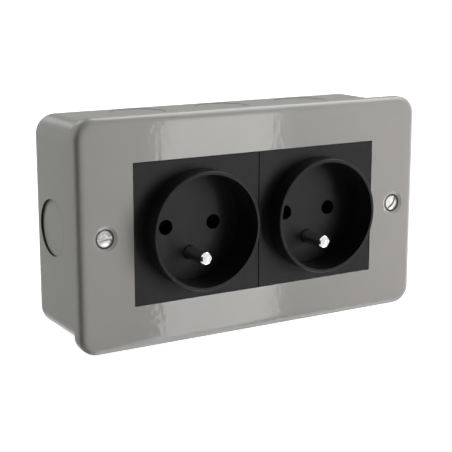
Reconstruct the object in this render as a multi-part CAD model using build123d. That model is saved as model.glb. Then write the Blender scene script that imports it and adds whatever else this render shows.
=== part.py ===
from build123d import *
import os

# Surface-mounted double socket outlet in pressed steel.
# Millimetres, +Z up, the front faces -Y, origin at the centre of the face on the wall.
# Places are given as X, Z and a distance out from the wall, or a depth behind a socket's face.

# Pressed steel sheet
SHEET = 1.2

# Back box
BOX_DEPTH = 40.4
BOX_CORNER_RADIUS = 7.1
BOX_REAR_RADIUS = 4.8
KNOCKOUT_DIAMETER = 20.0
KNOCKOUT_STEP = 0.8
KNOCKOUT_SCORE = 0.15
KNOCKOUT_FROM_WALL = 16.1
KNOCKOUT_PITCH = 34.6
FIXING_DIAMETER = 5.0
FIXING_FROM_END = 24.5
FIXING_FROM_EDGE = 14.2
LUG_WIDTH = 12.0
LUG_REACH = 6.0
LUG_SHEET = 1.6
LUG_WELD_LENGTH = 10.0

# Front plate
PLATE_MARGIN_X = 20.375
PLATE_MARGIN_Z = 15.5
PLATE_OVERHANG_X = 1.7
PLATE_OVERHANG_Z = 2.15
PLATE_RIM = 5.1
PLATE_CORNER_RADIUS = 6.9
PLATE_EDGE_RADIUS = 2.6
PLATE_STANDOFF = 0.4
DIMPLE_DIAMETER = 9.0
DIMPLE_FLOOR_DIAMETER = 6.8
DIMPLE_DEPTH = 0.6
RAIL_SHORT = 1.3
RAIL_DEPTH = 9.0
RAIL_FOOT = 5.0

# Plate screws
SCREW_FROM_EDGE = 9.9
SCREW_DIAMETER = 3.5
SCREW_LENGTH = 14.0
SCREW_HEAD_DIAMETER = 5.6
SCREW_HEAD_RISE = 0.9
SCREW_SLOT_WIDTH = 0.9
SCREW_SLOT_DEPTH = 0.8
SCREW_SLOT_ANGLES = {-1: 8.0, 1: 53.0}

# Socket cover
MODULE_WIDTH = 49.6
MODULE_HEIGHT = 49.4
MODULE_GAP = 0.15
FACE_RECESS = 0.2
FACE_CHAMFER = 0.15
BODY_INSET = 0.2
BODY_SHOULDER = 1.3
BODY_WALL = 1.6
SHROUD_DIAMETER = 41.9
SHROUD_WALL = 1.2
SHROUD_RISE = 7.6
SHROUD_RIM_CHAMFER = 0.3
RECESS_DEPTH = 13.7
FLOOR_THICKNESS = 2.0
PIN_PITCH = 19.0
PIN_HOLE_DIAMETER = 5.4
CLIP_WIDTH = 10.0
CLIP_LENGTH = 2.0
CLIP_RISE = 1.0
CLIP_FROM_PLATE = 5.0

# Shutter and its folded strip spring
SHUTTER_DEPTH = 6.8
SHUTTER_OVERLAP = 0.9
SHUTTER_LAND = 2.8
SHUTTER_LOBE_WIDTH = 8.0
GUIDE_WALL = 1.4
STOP_HEIGHT = 1.0
STOP_LENGTH = 3.6
SPRING_SHEET = 0.3
SPRING_WIDTH = 5.0
SPRING_HEIGHT = 8.0
SPRING_SPAN = 8.0
SPRING_FOLDS = 4
LEDGE_WIDTH = 12.0

# Earth pin
EARTH_PIN_DIAMETER = 4.8
EARTH_PIN_DROP = 10.0
EARTH_PIN_SHORT = 0.7
EARTH_PIN_DOME = 1.2
EARTH_PIN_ROOT_DIAMETER = 5.2

# Socket base
BASE_DEPTH = 14.6
TOWER_WALL = 1.4
PAD_HEIGHT = 1.2
CATCH_WIDTH = 6.0
CATCH_SPREAD = 26.0
CATCH_WALL = 1.2
CATCH_REACH = 3.4
CATCH_HOOK = 1.2
CATCH_RISE = 0.9
WIRE_ENTRY_WIDTH = 4.4
WIRE_ENTRY_HEIGHT = 3.6

# Contacts and screwless wire clamps, in brass and steel strip
STRIP = 0.8
CONTACT_GRIP = 4.6
CONTACT_MOUTH = 6.4
CONTACT_BACK = 5.6
CONTACT_HEIGHT = 8.0
CONTACT_LENGTH = 9.8
CONTACT_GRIP_DEPTH = 3.4
STRAP_WIDTH = 6.0
BAR_LENGTH = 7.5
CLAMP_SHEET = 0.4
CLAMP_WIDTH = 4.6
CLAMP_HEIGHT = 6.0
CLAMP_LENGTH = 6.4
CLAMP_BITE = 4.0

# Earth terminal in the box
BOX_BLOCK_FROM_END = 11.5
BOX_BLOCK_FROM_EDGE = 13.2
BOX_BLOCK_SIZE = 8.0
BOX_BLOCK_DEPTH = 9.0
BOX_WIRE_SIZE = 4.0
BOX_WIRE_FROM_WALL = 1.6
BOX_SCREW_DIAMETER = 4.0
BOX_SCREW_RISE = 1.2

# Clearances
THREAD_PLAY = 0.05
SLIDE_PLAY = 0.25
FIT_PLAY = 0.2

# Places out from the wall
PLATE_BACK = BOX_DEPTH + PLATE_STANDOFF
PLATE_FRONT = PLATE_BACK + SHEET
FACE = PLATE_FRONT - FACE_RECESS

# Countersink at the bottom of a dimple, and the screw head that it seats
DIMPLE_FLOOR = PLATE_FRONT - DIMPLE_DEPTH
SINK_MOUTH = DIMPLE_FLOOR_DIAMETER / 2
SINK_THROAT = SCREW_DIAMETER / 2 + THREAD_PLAY
SINK_SLOPE = (DIMPLE_FLOOR - PLATE_BACK) / (SINK_MOUTH - SINK_THROAT)
SCREW_HEAD_RIM = PLATE_BACK + SINK_SLOPE * (SCREW_HEAD_DIAMETER - SCREW_DIAMETER) / 2

# Sizes and places that follow from the two socket modules
SOCKET_X = (MODULE_WIDTH + MODULE_GAP) / 2
OPENING_WIDTH = 2 * MODULE_WIDTH + 3 * MODULE_GAP
OPENING_HEIGHT = MODULE_HEIGHT + 2 * MODULE_GAP
BODY_WIDTH = MODULE_WIDTH - 2 * BODY_INSET
BODY_HEIGHT = MODULE_HEIGHT + 2 * BODY_SHOULDER
RAIL_LENGTH = OPENING_WIDTH - 2 * RAIL_SHORT
RAIL_INSIDE = BODY_HEIGHT / 2 + FIT_PLAY
PLATE_WIDTH = OPENING_WIDTH + 2 * PLATE_MARGIN_X
PLATE_HEIGHT = OPENING_HEIGHT + 2 * PLATE_MARGIN_Z
BOX_WIDTH = PLATE_WIDTH - 2 * PLATE_OVERHANG_X
BOX_HEIGHT = PLATE_HEIGHT - 2 * PLATE_OVERHANG_Z
SCREW_X = PLATE_WIDTH / 2 - SCREW_FROM_EDGE
FIXING_PITCH_X = BOX_WIDTH - 2 * FIXING_FROM_END
FIXING_PITCH_Z = BOX_HEIGHT - 2 * FIXING_FROM_EDGE
BOX_BLOCK_X = BOX_BLOCK_FROM_END - BOX_WIDTH / 2
BOX_BLOCK_Z = BOX_BLOCK_FROM_EDGE - BOX_HEIGHT / 2

# Depths behind the socket's face
SHOULDER = SHEET - FACE_RECESS
CLIP_FRONT = SHOULDER + CLIP_FROM_PLATE
FLOOR_FRONT = RECESS_DEPTH - SHROUD_RISE
FLOOR_BACK = FLOOR_FRONT + FLOOR_THICKNESS
SHUTTER_FRONT = FLOOR_BACK + SLIDE_PLAY
SHUTTER_BACK = SHUTTER_FRONT + SHUTTER_DEPTH
SPLIT = SHUTTER_BACK + SLIDE_PLAY
BASE_BACK = SPLIT + BASE_DEPTH
BASE_WALL_FRONT = BASE_BACK - BODY_WALL
STRAP_BACK = BASE_WALL_FRONT - PAD_HEIGHT
STRAP_FRONT = STRAP_BACK - STRIP

# Shutter, at rest over the pin holes
SHUTTER_WIDTH = PIN_PITCH + SHUTTER_LOBE_WIDTH
SHUTTER_LOW = -PIN_HOLE_DIAMETER / 2 - SHUTTER_OVERLAP
SHUTTER_RAMP_TOP = PIN_HOLE_DIAMETER / 2 + SHUTTER_OVERLAP
SHUTTER_TOP = SHUTTER_RAMP_TOP + SHUTTER_LAND
SPRING_FOOT = SHUTTER_TOP + SPRING_SHEET
LEDGE_LOW = SPRING_FOOT + SPRING_HEIGHT + SPRING_SHEET
STOP_TOP = SHUTTER_LOW - FIT_PLAY
GUIDE_X = SHUTTER_WIDTH / 2 + SLIDE_PLAY

# Contact towers, bars and clamps
PIN_X = PIN_PITCH / 2
TOWER_INSIDE = CONTACT_HEIGHT + 2 * STRIP + 2 * SLIDE_PLAY
TOWER_SIZE = TOWER_INSIDE + 2 * TOWER_WALL
EARTH_TOWER_INSIDE = EARTH_PIN_ROOT_DIAMETER + 2 * FIT_PLAY
CLAMP_SEAT = BODY_HEIGHT / 2 - BODY_WALL
BAR_TOP = CLAMP_SEAT - CLAMP_HEIGHT
TERMINALS = [(-PIN_X, 1), (PIN_X, 1), (0, -1)]
CATCH_X = BODY_WIDTH / 2 - BODY_WALL
CATCH_HEIGHTS = (-CATCH_SPREAD / 2, CATCH_SPREAD / 2)

NEAR = 0.01


def slab(outline, start, end):
    """Front-view outline, extruded between two distances out from the wall."""
    return extrude(Plane.XZ.offset(start) * outline, end - start)


def layer(outline, near, far):
    """Front-view outline, extruded between two depths behind the socket's face."""
    return slab(outline, FACE - far, FACE - near)


def side_profile(points, width):
    """Side-view outline of (depth behind the face, height) points, extruded to a width in X."""
    outline = Polyline(*[(depth - FACE, height) for depth, height in points], close=True)
    return extrude(Plane.YZ * make_face(outline), width / 2, both=True)


def turned(profile):
    """Solid of revolution about Y from (radius, distance out from the wall) points."""
    outline = Polyline(*[(radius, -out) for radius, out in profile], close=True)
    return revolve(make_face(outline), Axis.Y)


def dome(radius, rise, start):
    """Spherical cap standing on a circle at one distance out from the wall."""
    ball = (radius ** 2 + rise ** 2) / (2 * rise)
    return Pos(0, ball - start - rise, 0) * Sphere(ball) & slab(Circle(radius), start, start + rise)


def edges_at(solid, out):
    """Edges that lie at one distance out from the wall."""
    return solid.edges().filter_by_position(Axis.Y, -out - NEAR, -out + NEAR)


def frame(width, height, wall):
    """Rectangular ring with the given outside size."""
    return Rectangle(width, height) - Rectangle(width - 2 * wall, height - 2 * wall)


def upright(x, low, high, width):
    """Rectangle between two heights, centred on an X place."""
    return Pos(x, (low + high) / 2) * Rectangle(width, high - low)


def level(left, right, z, height):
    """Rectangle between two X places, centred on a height."""
    return Pos((left + right) / 2, z) * Rectangle(right - left, height)


def inside_bend(outside_radius):
    """Chamfer inside a bend that keeps the sheet's thickness at the middle of the bend."""
    return (2 - 2 ** 0.5) * (outside_radius - SHEET)


def knockouts():
    """Outside planes and depths of the knockouts: a deep one at each end and three scored above."""
    places = []
    for side in (-1, 1):
        end = (side * BOX_WIDTH / 2, -KNOCKOUT_FROM_WALL, 0)
        places.append((Plane(end, x_dir=(0, 1, 0), z_dir=(side, 0, 0)), KNOCKOUT_STEP))
    for x in (-KNOCKOUT_PITCH, 0, KNOCKOUT_PITCH):
        top = (x, -KNOCKOUT_FROM_WALL, BOX_HEIGHT / 2)
        places.append((Plane(top), KNOCKOUT_SCORE))
    return places


def box_lug():
    """Welded angle inside the right end of the box, tapped for a plate screw."""
    wall = BOX_WIDTH / 2 - SHEET
    nose = level(SCREW_X - LUG_REACH, wall, 0, LUG_WIDTH)
    leg = level(wall - LUG_SHEET, wall, 0, LUG_WIDTH)
    tapped = Pos(SCREW_X, 0) * Circle(SCREW_DIAMETER / 2 + THREAD_PLAY)
    lug = slab(nose - tapped, PLATE_BACK - LUG_SHEET, PLATE_BACK)
    return lug + slab(leg, PLATE_BACK - LUG_WELD_LENGTH, PLATE_BACK)


def back_box():
    box = slab(RectangleRounded(BOX_WIDTH, BOX_HEIGHT, BOX_CORNER_RADIUS), 0, BOX_DEPTH)
    box = fillet(edges_at(box, 0), BOX_REAR_RADIUS)
    inner = RectangleRounded(BOX_WIDTH - 2 * SHEET, BOX_HEIGHT - 2 * SHEET, BOX_CORNER_RADIUS - SHEET)
    hollow = slab(inner, SHEET, BOX_DEPTH)
    box -= chamfer(edges_at(hollow, SHEET), inside_bend(BOX_REAR_RADIUS))
    for plane, depth in knockouts():
        box -= extrude(plane * Circle(KNOCKOUT_DIAMETER / 2), -depth)
    for fixing in GridLocations(FIXING_PITCH_X, FIXING_PITCH_Z, 2, 2):
        box -= slab(fixing * Circle(FIXING_DIAMETER / 2), 0, SHEET)
    lug = box_lug()
    return box + lug + mirror(lug, about=Plane.YZ)


def plate_rail():
    """Angle welded above the opening, with a window for each socket's clip."""
    wall = upright(0, RAIL_INSIDE, RAIL_INSIDE + SHEET, RAIL_LENGTH)
    foot = upright(0, RAIL_INSIDE, RAIL_INSIDE + RAIL_FOOT, RAIL_LENGTH)
    rail = slab(wall, PLATE_BACK - RAIL_DEPTH, PLATE_BACK) + slab(foot, PLATE_BACK - SHEET, PLATE_BACK)
    for side in (-1, 1):
        window = upright(side * SOCKET_X, RAIL_INSIDE, RAIL_INSIDE + SHEET, CLIP_WIDTH + 2 * FIT_PLAY)
        rail -= layer(window, CLIP_FRONT - FIT_PLAY, CLIP_FRONT + CLIP_LENGTH + FIT_PLAY)
    return rail


def front_plate():
    rim = PLATE_FRONT - PLATE_RIM
    plate = slab(RectangleRounded(PLATE_WIDTH, PLATE_HEIGHT, PLATE_CORNER_RADIUS), rim, PLATE_FRONT)
    plate = fillet(edges_at(plate, PLATE_FRONT), PLATE_EDGE_RADIUS)
    inner = RectangleRounded(PLATE_WIDTH - 2 * SHEET, PLATE_HEIGHT - 2 * SHEET, PLATE_CORNER_RADIUS - SHEET)
    hollow = slab(inner, rim, PLATE_BACK)
    plate -= chamfer(edges_at(hollow, PLATE_BACK), inside_bend(PLATE_EDGE_RADIUS))
    plate -= slab(Rectangle(OPENING_WIDTH, OPENING_HEIGHT), PLATE_BACK, PLATE_FRONT)
    dimple = turned(
        [
            (0, PLATE_FRONT),
            (DIMPLE_DIAMETER / 2, PLATE_FRONT),
            (SINK_MOUTH, DIMPLE_FLOOR),
            (SINK_THROAT, PLATE_BACK),
            (0, PLATE_BACK),
        ]
    )
    for side in (-1, 1):
        plate -= Pos(side * SCREW_X, 0, 0) * dimple
    rail = plate_rail()
    return plate + rail + mirror(rail, about=Plane.XY)


def plate_screw(side):
    """Slotted screw with a raised countersunk head."""
    shank = SCREW_DIAMETER / 2
    head = SCREW_HEAD_DIAMETER / 2
    rim = SCREW_HEAD_RIM
    tip = rim - SCREW_LENGTH
    screw = turned([(0, rim), (head, rim), (shank, PLATE_BACK), (shank, tip), (0, tip)])
    screw += dome(head, SCREW_HEAD_RISE, rim)
    crown = rim + SCREW_HEAD_RISE
    slot = Rot(0, 0, SCREW_SLOT_ANGLES[side]) * Rectangle(2 * head, SCREW_SLOT_WIDTH)
    return Pos(side * SCREW_X, 0, 0) * (screw - slab(slot, crown - SCREW_SLOT_DEPTH, crown))


def shutter_guides():
    """Rails, lower stops and a spring ledge behind the floor of the recess."""
    bottom = STOP_TOP - STOP_HEIGHT
    rail = upright(GUIDE_X + GUIDE_WALL / 2, bottom, LEDGE_LOW, GUIDE_WALL)
    rail += upright(GUIDE_X - STOP_LENGTH / 2, bottom, STOP_TOP, STOP_LENGTH)
    guide = layer(rail, FLOOR_BACK, SPLIT)
    ledge = layer(upright(0, LEDGE_LOW, LEDGE_LOW + GUIDE_WALL, LEDGE_WIDTH), FLOOR_BACK, SPLIT)
    return guide + mirror(guide, about=Plane.YZ) + ledge


def catch_windows():
    """Windows in the sides of a cover for the hooks of its base."""
    near = SPLIT - CATCH_REACH
    windows = Part()
    for z in CATCH_HEIGHTS:
        outline = level(CATCH_X, CATCH_X + BODY_WALL, z, CATCH_WIDTH + 2 * FIT_PLAY)
        windows += layer(outline, near - FIT_PLAY, near + CATCH_HOOK + FIT_PLAY)
    return windows + mirror(windows, about=Plane.YZ)


def cover_clip():
    """Ramped clip on the top of a socket cover."""
    root = BODY_HEIGHT / 2
    back = CLIP_FRONT + CLIP_LENGTH
    return side_profile([(CLIP_FRONT, root), (back, root), (back, root + CLIP_RISE)], CLIP_WIDTH)


def socket_cover():
    shroud = SHROUD_DIAMETER / 2
    recess = shroud - SHROUD_WALL
    face = layer(Rectangle(MODULE_WIDTH, MODULE_HEIGHT), 0, SHOULDER)
    cover = chamfer(edges_at(face, FACE), FACE_CHAMFER)
    cover += layer(Rectangle(BODY_WIDTH, BODY_HEIGHT), SHOULDER, FLOOR_BACK)
    cover += layer(frame(BODY_WIDTH, BODY_HEIGHT, BODY_WALL), FLOOR_BACK, SPLIT)
    ring = layer(Circle(shroud), -SHROUD_RISE, 0)
    cover += chamfer(edges_at(ring, FACE + SHROUD_RISE), SHROUD_RIM_CHAMFER)
    cover -= layer(Circle(recess), -SHROUD_RISE, FLOOR_FRONT)
    holes = Pos(0, -EARTH_PIN_DROP) * Circle(EARTH_PIN_ROOT_DIAMETER / 2 + THREAD_PLAY)
    for side in (-1, 1):
        holes += Pos(side * PIN_X, 0) * Circle(PIN_HOLE_DIAMETER / 2)
    cover -= layer(holes, FLOOR_FRONT, FLOOR_BACK)
    clip = cover_clip()
    return cover - catch_windows() + shutter_guides() + clip + mirror(clip, about=Plane.XY)


def shutter():
    """Sliding gate with a ramp over each pin hole; the two pins together lift it."""
    gate = side_profile(
        [
            (SHUTTER_FRONT, SHUTTER_TOP),
            (SHUTTER_FRONT, SHUTTER_RAMP_TOP),
            (SHUTTER_BACK, SHUTTER_LOW),
            (SHUTTER_BACK, SHUTTER_TOP),
        ],
        SHUTTER_WIDTH,
    )
    gap = PIN_PITCH - SHUTTER_LOBE_WIDTH
    return gate - layer(upright(0, SHUTTER_LOW, SHUTTER_RAMP_TOP, gap), SHUTTER_FRONT, SHUTTER_BACK)


def shutter_spring():
    """Zigzag strip between the shutter and the ledge above it."""
    turns = []
    for fold in range(SPRING_FOLDS + 1):
        side = 1 - 2 * (fold % 2)
        turns.append((side * SPRING_SPAN / 2, SPRING_FOOT + fold * SPRING_HEIGHT / SPRING_FOLDS))
    strip = trace(Polyline(*turns), SPRING_SHEET)
    middle = (SHUTTER_FRONT + SHUTTER_BACK) / 2
    return layer(strip, middle - SPRING_WIDTH / 2, middle + SPRING_WIDTH / 2)


def earth_pin():
    """Plated pin with a domed tip, thicker from the floor of the recess back."""
    shaft = FACE + SHROUD_RISE - EARTH_PIN_SHORT - EARTH_PIN_DOME
    floor = FACE - FLOOR_FRONT
    pin = slab(Circle(EARTH_PIN_ROOT_DIAMETER / 2), FACE - STRAP_FRONT, floor)
    pin += slab(Circle(EARTH_PIN_DIAMETER / 2), floor, shaft)
    pin += dome(EARTH_PIN_DIAMETER / 2, EARTH_PIN_DOME, shaft)
    return Pos(0, 0, -EARTH_PIN_DROP) * pin


def wire_bar(x, side):
    """Flat bar that a wire is pressed against, standing forward from the end of a strap."""
    bar = Pos(x, side * (BAR_TOP - STRIP / 2)) * Rectangle(STRAP_WIDTH, STRIP)
    return layer(bar, STRAP_BACK - BAR_LENGTH, STRAP_BACK)


def earth_strap():
    """Bent link from the earth pin to its wire clamp."""
    strap = upright(0, -BAR_TOP, -EARTH_PIN_DROP + EARTH_PIN_ROOT_DIAMETER / 2, STRAP_WIDTH)
    return layer(strap, STRAP_FRONT, STRAP_BACK) + wire_bar(0, -1)


def pin_contact(side):
    """Folded clip that grips a plug pin, with a strap up to its wire clamp."""
    x = side * PIN_X
    back = (STRAP_FRONT + STRAP_BACK) / 2 - FACE
    front = back - CONTACT_LENGTH
    half = [
        ((CONTACT_MOUTH + STRIP) / 2, front),
        ((CONTACT_GRIP + STRIP) / 2, front + CONTACT_GRIP_DEPTH),
        ((CONTACT_BACK + STRIP) / 2, back),
    ]
    leaf = trace(Polyline(*[(-out, y) for out, y in half], *half[::-1]), STRIP)
    clip = Pos(x, 0, 0) * extrude(leaf, CONTACT_HEIGHT / 2, both=True)
    strap = upright(x, 0, BAR_TOP, STRAP_WIDTH)
    return clip + layer(strap, STRAP_FRONT, STRAP_BACK) + wire_bar(x, 1)


def wire_clamp(x, side):
    """Bent leaf that traps a wire against its bar; it bears on the wall of the base."""
    top = CLAMP_SEAT - CLAMP_SHEET / 2
    heel = STRAP_BACK
    path = [
        (heel - CLAMP_LENGTH, top),
        (heel, top),
        (heel - CLAMP_BITE, BAR_TOP + CLAMP_SHEET),
    ]
    leaf = trace(Polyline(*[(depth - FACE, side * z) for depth, z in path]), CLAMP_SHEET)
    return Pos(x, 0, 0) * extrude(Plane.YZ * leaf, CLAMP_WIDTH / 2, both=True)


def base_catch(z):
    """Sprung arm on the right of a base, hooked into a window of the cover."""
    outside = CATCH_X - FIT_PLAY
    arm = level(outside - CATCH_WALL, outside, z, CATCH_WIDTH)
    root = level(outside - CATCH_WALL, CATCH_X + BODY_WALL, z, CATCH_WIDTH)
    front = SPLIT - CATCH_REACH
    top_view = Polyline(
        (outside, front - FACE),
        (outside + CATCH_RISE, front + CATCH_HOOK - FACE),
        (outside, front + CATCH_HOOK - FACE),
        close=True,
    )
    hook = Pos(0, 0, z) * extrude(make_face(top_view), CATCH_WIDTH / 2, both=True)
    return layer(arm, front, SPLIT + BODY_WALL) + layer(root, SPLIT, SPLIT + BODY_WALL) + hook


def socket_base():
    base = layer(frame(BODY_WIDTH, BODY_HEIGHT, BODY_WALL), SPLIT, BASE_BACK)
    base += layer(Rectangle(BODY_WIDTH, BODY_HEIGHT), BASE_WALL_FRONT, BASE_BACK)
    for x in (-PIN_X, PIN_X):
        base += layer(Pos(x, 0) * frame(TOWER_SIZE, TOWER_SIZE, TOWER_WALL), SPLIT, BASE_WALL_FRONT)
        slot = upright(x, TOWER_INSIDE / 2, TOWER_SIZE / 2, STRAP_WIDTH + 2 * FIT_PLAY)
        base -= layer(slot, STRAP_FRONT - FIT_PLAY, BASE_WALL_FRONT)
    outside = EARTH_TOWER_INSIDE + 2 * TOWER_WALL
    tower = Pos(0, -EARTH_PIN_DROP) * frame(outside, outside, TOWER_WALL)
    base += layer(tower, SPLIT, STRAP_FRONT - FIT_PLAY)
    for x, z in ((-PIN_X, 0), (PIN_X, 0), (0, -EARTH_PIN_DROP)):
        base += layer(Pos(x, z) * Rectangle(STRAP_WIDTH, STRAP_WIDTH), STRAP_BACK, BASE_WALL_FRONT)
    for z in CATCH_HEIGHTS:
        catch = base_catch(z)
        base += catch + mirror(catch, about=Plane.YZ)
    for x, side in TERMINALS:
        entry = Pos(x, side * (BAR_TOP + CLAMP_HEIGHT / 2)) * Rectangle(WIRE_ENTRY_WIDTH, WIRE_ENTRY_HEIGHT)
        base -= layer(entry, BASE_WALL_FRONT, BASE_BACK)
    return base


def box_earth_terminal():
    """Brass block on the back of the box with a square way through for the wires."""
    place = Pos(BOX_BLOCK_X, BOX_BLOCK_Z)
    front = SHEET + BOX_BLOCK_DEPTH
    block = slab(place * Rectangle(BOX_BLOCK_SIZE, BOX_BLOCK_SIZE), SHEET, front)
    way = place * Rectangle(BOX_BLOCK_SIZE, BOX_WIRE_SIZE)
    way_back = SHEET + BOX_WIRE_FROM_WALL
    block -= slab(way, way_back, way_back + BOX_WIRE_SIZE)
    tapped = place * Circle(BOX_SCREW_DIAMETER / 2 + THREAD_PLAY)
    return block - slab(tapped, way_back + BOX_WIRE_SIZE, front)


def box_earth_screw():
    """Slotted headless screw of the box's earth terminal."""
    top = SHEET + BOX_BLOCK_DEPTH + BOX_SCREW_RISE
    tip = SHEET + BOX_WIRE_FROM_WALL + BOX_WIRE_SIZE
    screw = slab(Circle(BOX_SCREW_DIAMETER / 2), tip, top)
    screw -= slab(Rectangle(BOX_SCREW_DIAMETER, SCREW_SLOT_WIDTH), top - SCREW_SLOT_DEPTH, top)
    return Pos(BOX_BLOCK_X, 0, BOX_BLOCK_Z) * screw


def socket_nodes(name, x):
    """Named pieces of one socket, moved to its place in the plate."""
    pieces = {
        "socket_cover": socket_cover(),
        "socket_base": socket_base(),
        "shutter": shutter(),
        "shutter_spring": shutter_spring(),
        "earth_pin": earth_pin(),
        "earth_strap": earth_strap(),
        "live_contact": pin_contact(-1),
        "neutral_contact": pin_contact(1),
    }
    for pole, terminal in zip(("live", "neutral", "earth"), TERMINALS):
        pieces[f"{pole}_clamp"] = wire_clamp(*terminal)
    return {f"{name}_{piece}": Pos(x, 0, 0) * solid for piece, solid in pieces.items()}


nodes = {
    "back_box": back_box(),
    "front_plate": front_plate(),
    "plate_screws": Compound([plate_screw(side) for side in (-1, 1)]),
    "box_earth_terminal": box_earth_terminal(),
    "box_earth_screw": box_earth_screw(),
}
nodes |= socket_nodes("left", -SOCKET_X)
nodes |= socket_nodes("right", SOCKET_X)

os.makedirs("parts", exist_ok=True)
for name, shape in nodes.items():
    export_step(shape, f"parts/{name}.step")
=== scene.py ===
import bpy
import math
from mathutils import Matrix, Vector


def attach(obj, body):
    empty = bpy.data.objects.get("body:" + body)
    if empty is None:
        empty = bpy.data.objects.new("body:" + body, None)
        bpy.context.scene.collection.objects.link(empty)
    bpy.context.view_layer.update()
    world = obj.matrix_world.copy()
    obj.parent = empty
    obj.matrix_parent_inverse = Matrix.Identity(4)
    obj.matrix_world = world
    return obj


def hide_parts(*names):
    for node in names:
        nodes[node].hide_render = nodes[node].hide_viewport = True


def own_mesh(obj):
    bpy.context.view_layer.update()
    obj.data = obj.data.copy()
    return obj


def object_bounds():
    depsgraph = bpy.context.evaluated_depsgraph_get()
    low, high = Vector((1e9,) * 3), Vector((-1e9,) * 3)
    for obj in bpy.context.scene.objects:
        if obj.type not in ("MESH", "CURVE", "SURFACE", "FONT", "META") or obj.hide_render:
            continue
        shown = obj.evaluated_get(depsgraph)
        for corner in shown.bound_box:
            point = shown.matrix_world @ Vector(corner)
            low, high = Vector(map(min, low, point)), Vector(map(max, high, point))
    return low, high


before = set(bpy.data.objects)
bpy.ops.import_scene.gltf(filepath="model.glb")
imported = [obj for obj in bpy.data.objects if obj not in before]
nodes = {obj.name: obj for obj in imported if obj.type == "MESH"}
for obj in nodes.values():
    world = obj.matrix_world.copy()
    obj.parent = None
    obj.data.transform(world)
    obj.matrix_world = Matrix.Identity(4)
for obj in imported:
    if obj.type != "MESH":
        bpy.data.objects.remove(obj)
cad_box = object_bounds()

# Lengths are metres in the part's frame: +Z up, the front faces -Y, the wall is at y = 0.

# Camera fitted to the photograph, with its lens and sensor in millimetres
CAMERA_PLACE = (-0.22480, -0.39533, 0.09041)
CAMERA_YAW = math.radians(30.85)
CAMERA_PITCH = math.radians(-12.474)
CAMERA_LENS = 95.51
CAMERA_SENSOR = 36.0
CAMERA_NEAR = 0.01

# Floor just below the part
FLOOR_GAP = 0.00005
FLOOR_Z = cad_box[0].z - FLOOR_GAP
FLOOR_HALF = 6.0
FLOOR_TONE = 0.45
FLOOR_GLOW = 0.92

# Ends, foot and top of the black card
CARD_ENDS = ((-0.58, 0.02), (-0.42, -0.50))
CARD_FOOT = -0.40
CARD_TOP = 0.25
CARD_TONE = 0.01

# Studio walls: direction of the darkest one, how the light grows from there, and what is left overhead
DARK_WALL = Vector((-0.80, -0.58, 0.10))
WALL_TURN = 0.5
WALL_LEVEL = 0.45
OVERHEAD_Z = 0.6
OVERHEAD_SHARE = 0.05

# Points that the lamps face
FACE_MIDDLE = (0.0, -0.042, 0.0)
LEFT_END = (-0.07, -0.02, 0.0)

# Half sizes of the plate
PLATE_HALF_X = cad_box[1].x
PLATE_HALF_Z = cad_box[1].z

# Paint on the plate's outer edge: its rounding, the zone it takes up, where that fades, and the rim behind
EDGE_SOFT = 0.0026
EDGE_ZONE = 0.0052
EDGE_FADE = 0.0008
PLATE_RIM_Y = -0.0371

# Shine of the enamel: on the plate's face, behind it, and where it faces up and gathers dust
SHINY_Y = -0.0404
DULL_Y = -0.0392
FACE_SHINE = 0.33
SIDE_SHINE = 0.040
DUSTY_SHINE = 0.003
DUST_FROM_Z = 0.75
DUST_FULL_Z = 0.97

# Orange peel of the enamel: waves per metre and their height
PEEL_SCALE = 380.0
PEEL_HEIGHT = 0.000013
FINE_PEEL_SCALE = 1200.0
FINE_PEEL_HEIGHT = 0.0000032

# Grain of the plastic and marks in the metal, in the same way, and the plastic's shine
GRAIN_SCALE = 5200.0
GRAIN_HEIGHT = 0.000006
MARK_HEIGHT = 0.000005
PLASTIC_SHINE = 0.13

# Tone of the clouds in each finish, as a share of its colour
ENAMEL_CLOUD = 1.046
PLASTIC_CLOUD = 1.35
METAL_CLOUD = 0.82

# Values between which most of a noise lies
NOISE_RANGE = (0.3, 0.7)

# Knockouts at the ends of the box, and the shade painted along their sheared step
KNOCKOUT_RADIUS = 0.010
KNOCKOUT_Y = -0.0161
BOX_END_X = 0.0685
STEP_DEPTH = 0.0010
STEP_LINE = 0.00003
STEP_LINE_EDGE = 0.00008
STEP_SHADE = 0.88

# Plate screws: the countersinks around them, where shade is painted, the soil on them, and soil with painted
# shade in their slots
SCREW_X = 0.0603
SEAT_RADIUS = 0.00335
SEAT_RADIUS_EDGE = 0.00350
SEAT_BACK_Y = -0.0407
SEAT_SHADE = 0.9
SLOT_FLOOR_Y = -0.04133
LEFT_SLOT_SOIL_AND_SHADE = 0.42
RIGHT_SLOT_SOIL_AND_SHADE = 0.7
SPECK_SCALE = 1600.0
SPECK_SOIL = (0.24, 0.50)
SOIL_AND_SHADE_ROUGHNESS = 0.6

# Where the shafts of the earth pins enter the plastic
EARTH_PIN_FOOT_Y = -0.0358

# Colours
BOX_GREY = (0.265, 0.265, 0.248)
PLATE_GREY = (0.270, 0.260, 0.247)
# Tone of the shade painted on the enamel along the knockout steps and in the screw countersinks
PAINTED_SHADE_TONE = (0.012, 0.011, 0.010)
# Black of the soiled specks on the left screw, and of the shade painted in the screw slots and at the foot of
# the earth pins
SOIL_AND_SHADE_BLACK = (0.01, 0.01, 0.01)
SCREW_NICKEL = (0.92, 0.91, 0.89)
PIN_NICKEL = (0.87, 0.86, 0.84)
BRASS = (0.78, 0.58, 0.26)
SPRING_STEEL = (0.55, 0.54, 0.52)
MODULE_BLACK = (0.010, 0.010, 0.010)
SHUTTER_BLACK = (0.020, 0.020, 0.020)


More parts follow.
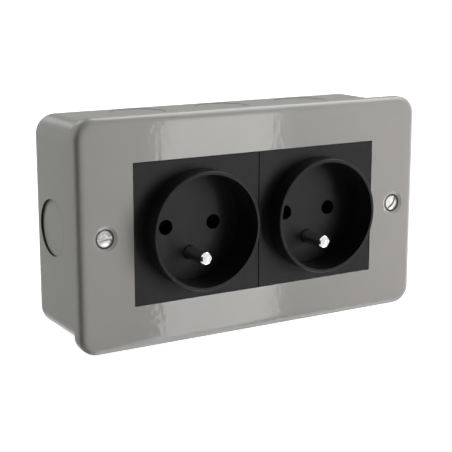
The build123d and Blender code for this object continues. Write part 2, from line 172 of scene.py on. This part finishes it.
class Tree:
    """A material's node tree, with short calls for the nodes it needs."""

    def __init__(self, name):
        self.material = bpy.data.materials.new(name)
        self.material.use_nodes = True
        self.tree = self.material.node_tree
        self.shader = self.tree.nodes["Principled BSDF"]
        self.place = self.node("ShaderNodeTexCoord").outputs["Object"]

    @classmethod
    def of(cls, tree):
        """The same calls for a node tree that is there already."""
        made = cls.__new__(cls)
        made.tree = tree
        return made

    def node(self, kind, **settings):
        made = self.tree.nodes.new(kind)
        for key, value in settings.items():
            setattr(made, key, value)
        return made

    def put(self, socket, value):
        """Links another node's socket, or sets a plain value."""
        if isinstance(value, bpy.types.NodeSocket):
            self.tree.links.new(value, socket)
        else:
            socket.default_value = value

    def math(self, operation, *values):
        made = self.node("ShaderNodeMath", operation=operation)
        for socket, value in zip(made.inputs, values):
            self.put(socket, value)
        return made.outputs[0]

    def vector(self, operation, *values):
        made = self.node("ShaderNodeVectorMath", operation=operation)
        for socket, value in zip(made.inputs, values):
            self.put(socket, value)
        return made.outputs["Vector"]

    def noise(self, scale, detail=3.0, rough=0.55):
        made = self.node("ShaderNodeTexNoise")
        self.put(made.inputs["Vector"], self.place)
        made.inputs["Scale"].default_value = scale
        made.inputs["Detail"].default_value = detail
        made.inputs["Roughness"].default_value = rough
        return made.outputs["Fac"]

    def remap(self, value, low, high, start, end, smooth=False):
        made = self.node("ShaderNodeMapRange")
        made.interpolation_type = "SMOOTHSTEP" if smooth else "LINEAR"
        for socket, number in zip(made.inputs, (value, low, high, start, end)):
            self.put(socket, number)
        return made.outputs["Result"]

    def uneven(self, scale, detail, start, end):
        """Noise that is spread from start to end."""
        return self.remap(self.noise(scale, detail), *NOISE_RANGE, start, end)

    def mix(self, factor, first, second):
        made = self.node("ShaderNodeMix", data_type="RGBA")
        self.put(made.inputs["Factor"], factor)
        self.put(made.inputs["A"], first)
        self.put(made.inputs["B"], second)
        return made.outputs["Result"]

    def length(self, first, second):
        squares = [self.math("MULTIPLY", side, side) for side in (first, second)]
        return self.math("SQRT", self.math("ADD", *squares))

    def split(self, vector):
        made = self.node("ShaderNodeSeparateXYZ")
        self.put(made.inputs[0], vector)
        return made.outputs

    def xyz(self):
        return self.split(self.place)

    def normal(self):
        return self.node("ShaderNodeNewGeometry").outputs["Normal"]

    def bump(self, height, distance, under=None):
        made = self.node("ShaderNodeBump")
        made.inputs["Strength"].default_value = 1.0
        made.inputs["Distance"].default_value = distance
        self.put(made.inputs["Height"], height)
        if under is not None:
            self.put(made.inputs["Normal"], under)
        return made.outputs["Normal"]

    def set(self, **values):
        """Fills the shader's sockets, whose names have spaces for underscores, and gives the material."""
        for key, value in values.items():
            self.put(self.shader.inputs[key.replace("_", " ")], value)
        return self.material


def colour(red, green, blue):
    return (red, green, blue, 1.0)


def grey(level):
    return colour(level, level, level)


def scaled(tone, share):
    return colour(*(share * part for part in tone))


def knockout_step(tree):
    """Nearly 1 on the sheared step of the knockout at each end of the box, where shade is painted, 0
    elsewhere.
    """
    x, y, z = tree.xyz()
    radius = tree.length(tree.math("SUBTRACT", y, KNOCKOUT_Y), z)
    off = tree.math("ABSOLUTE", tree.math("SUBTRACT", radius, KNOCKOUT_RADIUS))
    at_end = tree.math("GREATER_THAN", tree.math("ABSOLUTE", x), BOX_END_X - STEP_DEPTH)
    line = tree.remap(off, STEP_LINE, STEP_LINE_EDGE, STEP_SHADE, 0.0, True)
    return tree.math("MULTIPLY", line, at_end)


def screw_seat(tree):
    """Nearly 1 in the countersinks under the screw heads, where shade is painted, 0 elsewhere."""
    x, y, z = tree.xyz()
    radius = tree.length(tree.math("SUBTRACT", tree.math("ABSOLUTE", x), SCREW_X), z)
    in_front = tree.math("LESS_THAN", y, SEAT_BACK_Y)
    seat = tree.remap(radius, SEAT_RADIUS, SEAT_RADIUS_EDGE, SEAT_SHADE, 0.0, True)
    return tree.math("MULTIPLY", seat, in_front)


def screw_soil_and_shade(tree):
    """Soil and painted shade in the slots of the screws, and soiled specks all over the left one, 0
    elsewhere.
    """
    x, y, _ = tree.xyz()
    slot_soil_and_shade = tree.remap(x, -0.01, 0.01, LEFT_SLOT_SOIL_AND_SHADE, RIGHT_SLOT_SOIL_AND_SHADE)
    # Soil and painted shade in the slots, lighter on the left screw
    in_slot = tree.math("MULTIPLY", tree.math("GREATER_THAN", y, SLOT_FLOOR_Y), slot_soil_and_shade)
    specks = tree.remap(tree.noise(SPECK_SCALE, 2.0), 0.40, 0.60, *SPECK_SOIL)
    on_left = tree.math("MULTIPLY", specks, tree.math("LESS_THAN", x, 0.0))
    return tree.math("MAXIMUM", in_slot, on_left)


def pin_foot(tree):
    """1 from the foot of the earth pins back, which the plastic shades, 0 elsewhere."""
    return tree.math("GREATER_THAN", tree.xyz()["Y"], EARTH_PIN_FOOT_Y)


def soft_edge(tree, peel):
    """Normal of the peel on paint that rounds off the plate's outer edge."""
    x, y, z = tree.xyz()
    across = tree.math("SUBTRACT", PLATE_HALF_X, tree.math("ABSOLUTE", x))
    along = tree.math("SUBTRACT", PLATE_HALF_Z, tree.math("ABSOLUTE", z))
    inward = tree.math("MINIMUM", across, along)
    reach = tree.remap(inward, EDGE_ZONE - EDGE_FADE, EDGE_ZONE, EDGE_SOFT, 0.0)
    to_rim = tree.math("MAXIMUM", tree.math("SUBTRACT", PLATE_RIM_Y, y), 0.0)
    made = tree.node("ShaderNodeBevel", samples=8)
    tree.put(made.inputs["Radius"], tree.math("MINIMUM", reach, to_rim))
    tilt = tree.vector("SUBTRACT", peel, tree.normal())
    return tree.vector("NORMALIZE", tree.vector("ADD", made.outputs["Normal"], tilt))


def enamel(name, tone, painted_shade, gloss, waves, edge=None):
    """Grey stoved enamel with an orange peel, shiniest on the plate's face, darkened by painted shade where
    its mask is set.
    """
    tree = Tree(name)
    cloud = tree.uneven(38.0, 4.0, 0.0, 1.0)
    shade = tree.mix(cloud, colour(*tone), scaled(tone, ENAMEL_CLOUD))
    shade = tree.mix(painted_shade(tree), shade, colour(*PAINTED_SHADE_TONE))
    peel = tree.bump(tree.noise(PEEL_SCALE, 1.0), PEEL_HEIGHT * waves)
    peel = tree.bump(tree.noise(FINE_PEEL_SCALE, 2.0), FINE_PEEL_HEIGHT * waves, peel)
    if edge is not None:
        peel = edge(tree, peel)
    rough = tree.uneven(420.0, 3.0, 0.94 * gloss, 1.06 * gloss)
    upward = tree.split(tree.normal())["Z"]
    dulled = tree.remap(upward, DUST_FROM_Z, DUST_FULL_Z, SIDE_SHINE, DUSTY_SHINE, True)
    shine = tree.remap(tree.xyz()["Y"], SHINY_Y, DULL_Y, FACE_SHINE, dulled)
    return tree.set(Base_Color=shade, Roughness=rough, Normal=peel, Specular_IOR_Level=shine)


def plastic(name, tone, gloss):
    """Satin moulded plastic with a fine spark-eroded grain."""
    tree = Tree(name)
    cloud = tree.uneven(90.0, 4.0, 0.0, 1.0)
    shade = tree.mix(cloud, colour(*tone), scaled(tone, PLASTIC_CLOUD))
    grain = tree.bump(tree.noise(GRAIN_SCALE, 2.0), GRAIN_HEIGHT)
    rough = tree.uneven(1400.0, 3.0, gloss - 0.04, gloss + 0.04)
    return tree.set(Base_Color=shade, Roughness=rough, Normal=grain, Specular_IOR_Level=PLASTIC_SHINE)


def metal(name, tone, gloss, scale, dark=None):
    """Plated or plain metal with fine scratches and uneven gloss, dark where it is soiled or shaded."""
    tree = Tree(name)
    cloud = tree.remap(tree.noise(scale, 5.0, 0.65), 0.35, 0.65, 0.0, 1.0)
    shade = tree.mix(cloud, colour(*tone), scaled(tone, METAL_CLOUD))
    rough = tree.uneven(scale * 2.5, 4.0, gloss - 0.05, gloss + 0.08)
    marks = tree.bump(tree.noise(scale * 4.0, 3.0, 0.7), MARK_HEIGHT)
    if dark is not None:
        # Where the mask is set, soil and painted shade darken the colour and roughen the surface
        soil_and_shade = dark(tree)
        shade = tree.mix(soil_and_shade, shade, colour(*SOIL_AND_SHADE_BLACK))
        rough = tree.math("ADD", rough, tree.math("MULTIPLY", soil_and_shade, SOIL_AND_SHADE_ROUGHNESS))
    return tree.set(Base_Color=shade, Metallic=1.0, Roughness=rough, Normal=marks)


def dress(material, *names):
    for name in names:
        mesh = nodes[name].data
        mesh.materials.clear()
        mesh.materials.append(material)


def add_spring(side):
    """Folded strip spring, copied from its node onto the housing, with the node hidden. In the socket its
    shutter presses it together against the ledge above it.
    """
    node = f"{side}_shutter_spring"
    strip = bpy.data.objects.new(f"{side}_spring_strip", nodes[node].data.copy())
    bpy.context.scene.collection.objects.link(strip)
    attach(strip, "housing")
    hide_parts(node)
    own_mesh(strip)


def dress_part():
    """Gives every node its material, and the sockets their springs."""
    box_enamel = enamel("box_enamel", BOX_GREY, knockout_step, gloss=0.25, waves=0.15)
    plate_enamel = enamel("plate_enamel", PLATE_GREY, screw_seat, gloss=0.04, waves=1.7, edge=soft_edge)
    screw_nickel = metal("screw_nickel", SCREW_NICKEL, gloss=0.22, scale=1500.0, dark=screw_soil_and_shade)
    brass = metal("brass", BRASS, gloss=0.28, scale=500.0)
    spring_steel = metal("spring_steel", SPRING_STEEL, gloss=0.25, scale=900.0)
    pin_nickel = metal("pin_nickel", PIN_NICKEL, gloss=0.12, scale=700.0, dark=pin_foot)
    black_plastic = plastic("black_plastic", MODULE_BLACK, gloss=0.36)
    shutter_plastic = plastic("shutter_plastic", SHUTTER_BLACK, gloss=0.40)
    dress(box_enamel, "back_box")
    dress(plate_enamel, "front_plate")
    dress(screw_nickel, "plate_screws")
    dress(brass, "box_earth_terminal", "box_earth_screw")
    for side in ("left", "right"):
        dress(black_plastic, f"{side}_socket_cover", f"{side}_socket_base")
        dress(shutter_plastic, f"{side}_shutter")
        dress(pin_nickel, f"{side}_earth_pin")
        dress(brass, f"{side}_earth_strap", f"{side}_live_contact", f"{side}_neutral_contact")
        dress(spring_steel, f"{side}_shutter_spring")
        dress(spring_steel, f"{side}_live_clamp", f"{side}_neutral_clamp", f"{side}_earth_clamp")
        add_spring(side)


def seen_white(tree):
    """1 for the rays that show the white background: to the camera, in metal and through clear pieces."""
    path = tree.node("ShaderNodeLightPath").outputs
    shown = tree.math("MAXIMUM", path["Is Camera Ray"], path["Is Glossy Ray"])
    return tree.math("MAXIMUM", shown, path["Is Transmission Ray"])


def floor_material():
    """White floor that keeps a faint shadow."""
    tree = Tree("floor_white")
    tree.set(Base_Color=grey(FLOOR_TONE), Roughness=0.9)
    glow = tree.node("ShaderNodeEmission")
    tree.put(glow.inputs["Strength"], tree.math("MULTIPLY", seen_white(tree), FLOOR_GLOW))
    both = tree.node("ShaderNodeAddShader")
    tree.put(both.inputs[0], tree.shader.outputs[0])
    tree.put(both.inputs[1], glow.outputs[0])
    tree.put(tree.tree.nodes["Material Output"].inputs["Surface"], both.outputs[0])
    return tree.material


def add_sheet(name, corners, material):
    """Flat four-sided sheet that belongs to the studio."""
    mesh = bpy.data.meshes.new(name)
    mesh.from_pydata(corners, [], [(0, 1, 2, 3)])
    mesh.materials.append(material)
    sheet = bpy.data.objects.new(name, mesh)
    bpy.context.scene.collection.objects.link(sheet)
    return sheet


def add_floor():
    """Floor that shows the part's shadow, and stays out of reflections."""
    signs = ((-1, -1), (1, -1), (1, 1), (-1, 1))
    corners = [(x * FLOOR_HALF, y * FLOOR_HALF, FLOOR_Z) for x, y in signs]
    floor = add_sheet("floor", corners, floor_material())
    floor.visible_glossy = False


def add_card():
    """Black card to the left of the part, out of the picture, which the plate's left edge mirrors."""
    tree = Tree("card_black")
    black = tree.set(Base_Color=grey(CARD_TONE), Roughness=0.9)
    near, far = CARD_ENDS
    corners = [(*near, CARD_FOOT), (*far, CARD_FOOT), (*far, CARD_TOP), (*near, CARD_TOP)]
    card = add_sheet("card", corners, black)
    card.visible_camera = False
    card.visible_shadow = False


def add_world():
    """Dim studio walls, darkest to the front left and overhead, which are white where they are seen."""
    world = bpy.data.worlds.new("studio")
    world.use_nodes = True
    bpy.context.scene.world = world
    tree = Tree.of(world.node_tree)
    tree.place = tree.node("ShaderNodeTexCoord").outputs["Generated"]
    toward = tree.node("ShaderNodeVectorMath", operation="DOT_PRODUCT")
    tree.put(toward.inputs[0], tree.place)
    tree.put(toward.inputs[1], DARK_WALL.normalized())
    level = tree.remap(toward.outputs["Value"], -WALL_TURN, WALL_TURN, WALL_LEVEL, 0.0, True)
    overhead = tree.remap(tree.xyz()["Z"], 0.0, OVERHEAD_Z, 1.0, OVERHEAD_SHARE, True)
    level = tree.math("MULTIPLY", level, overhead)
    back = world.node_tree.nodes["Background"]
    tree.put(back.inputs["Strength"], tree.math("MAXIMUM", level, seen_white(tree)))
    back.inputs["Color"].default_value = grey(1.0)


def aim(thing, direction):
    """Turns a lamp or the camera to look along a direction."""
    thing.rotation_euler = direction.to_track_quat("-Z", "Y").to_euler()


def add_area(name, place, target, size, radiance, mirrored=True):
    """Soft box of a given brightness that faces a point, and may stay out of reflections."""
    width, height = size
    light = bpy.data.lights.new(name, "AREA")
    light.shape = "RECTANGLE"
    light.size = width
    light.size_y = height
    light.energy = radiance * math.pi * width * height
    lamp = bpy.data.objects.new(name, light)
    lamp.location = place
    aim(lamp, Vector(target) - Vector(place))
    lamp.visible_glossy = mirrored
    bpy.context.scene.collection.objects.link(lamp)


def add_lamps():
    """Soft boxes, each with its place, the point it faces, its width and height, and its brightness."""
    # Tall strip that the plate's face mirrors, and the main light from the right
    add_area("strip_box", (0.870, -1.55, -0.30), FACE_MIDDLE, (0.215, 1.6), 5.2)
    add_area("right_box", (0.36, -0.50, 0.07), FACE_MIDDLE, (0.4, 0.22), 13.4, mirrored=False)
    # Light on the left end and the top of the box
    add_area("left_box", (-0.80, 0.90, 0.10), LEFT_END, (0.6, 0.5), 7.2, mirrored=False)
    add_area("rear_box", (-0.67, 0.58, 0.84), LEFT_END, (0.5, 0.5), 10.0, mirrored=False)
    add_area("top_box", (0.66, 0.22, 0.96), (0.0, -0.04, 0.03), (1.2, 0.66), 3.8)
    # Reflections in the rounded edges: right of the plate, upper and lower left of the box, foot of the plate
    add_area("rim_box", (1.36, -0.03, -0.15), (0.07, -0.04, 0.0), (0.35, 0.6), 4.0)
    add_area("edge_box", (-0.03, 1.10, 0.50), (-0.07, 0.0, 0.03), (0.36, 0.4), 2.6)
    add_area("foot_box", (0.09, 1.10, -0.49), (-0.07, 0.0, -0.03), (0.6, 0.5), 0.9)
    add_area("table_box", (0.38, -0.30, -0.88), (0.0, -0.04, -0.04), (0.7, 0.7), 3.0)


def add_camera():
    data = bpy.data.cameras.new("camera")
    data.sensor_width = CAMERA_SENSOR
    data.lens = CAMERA_LENS
    data.clip_start = CAMERA_NEAR
    camera = bpy.data.objects.new("camera", data)
    flat = math.cos(CAMERA_PITCH)
    camera.location = CAMERA_PLACE
    aim(camera, Vector((flat * math.sin(CAMERA_YAW), flat * math.cos(CAMERA_YAW), math.sin(CAMERA_PITCH))))
    bpy.context.scene.collection.objects.link(camera)
    bpy.context.scene.camera = camera


dress_part()
add_floor()
add_card()
add_world()
add_lamps()
add_camera()
bpy.context.scene.view_settings.view_transform = "Standard"
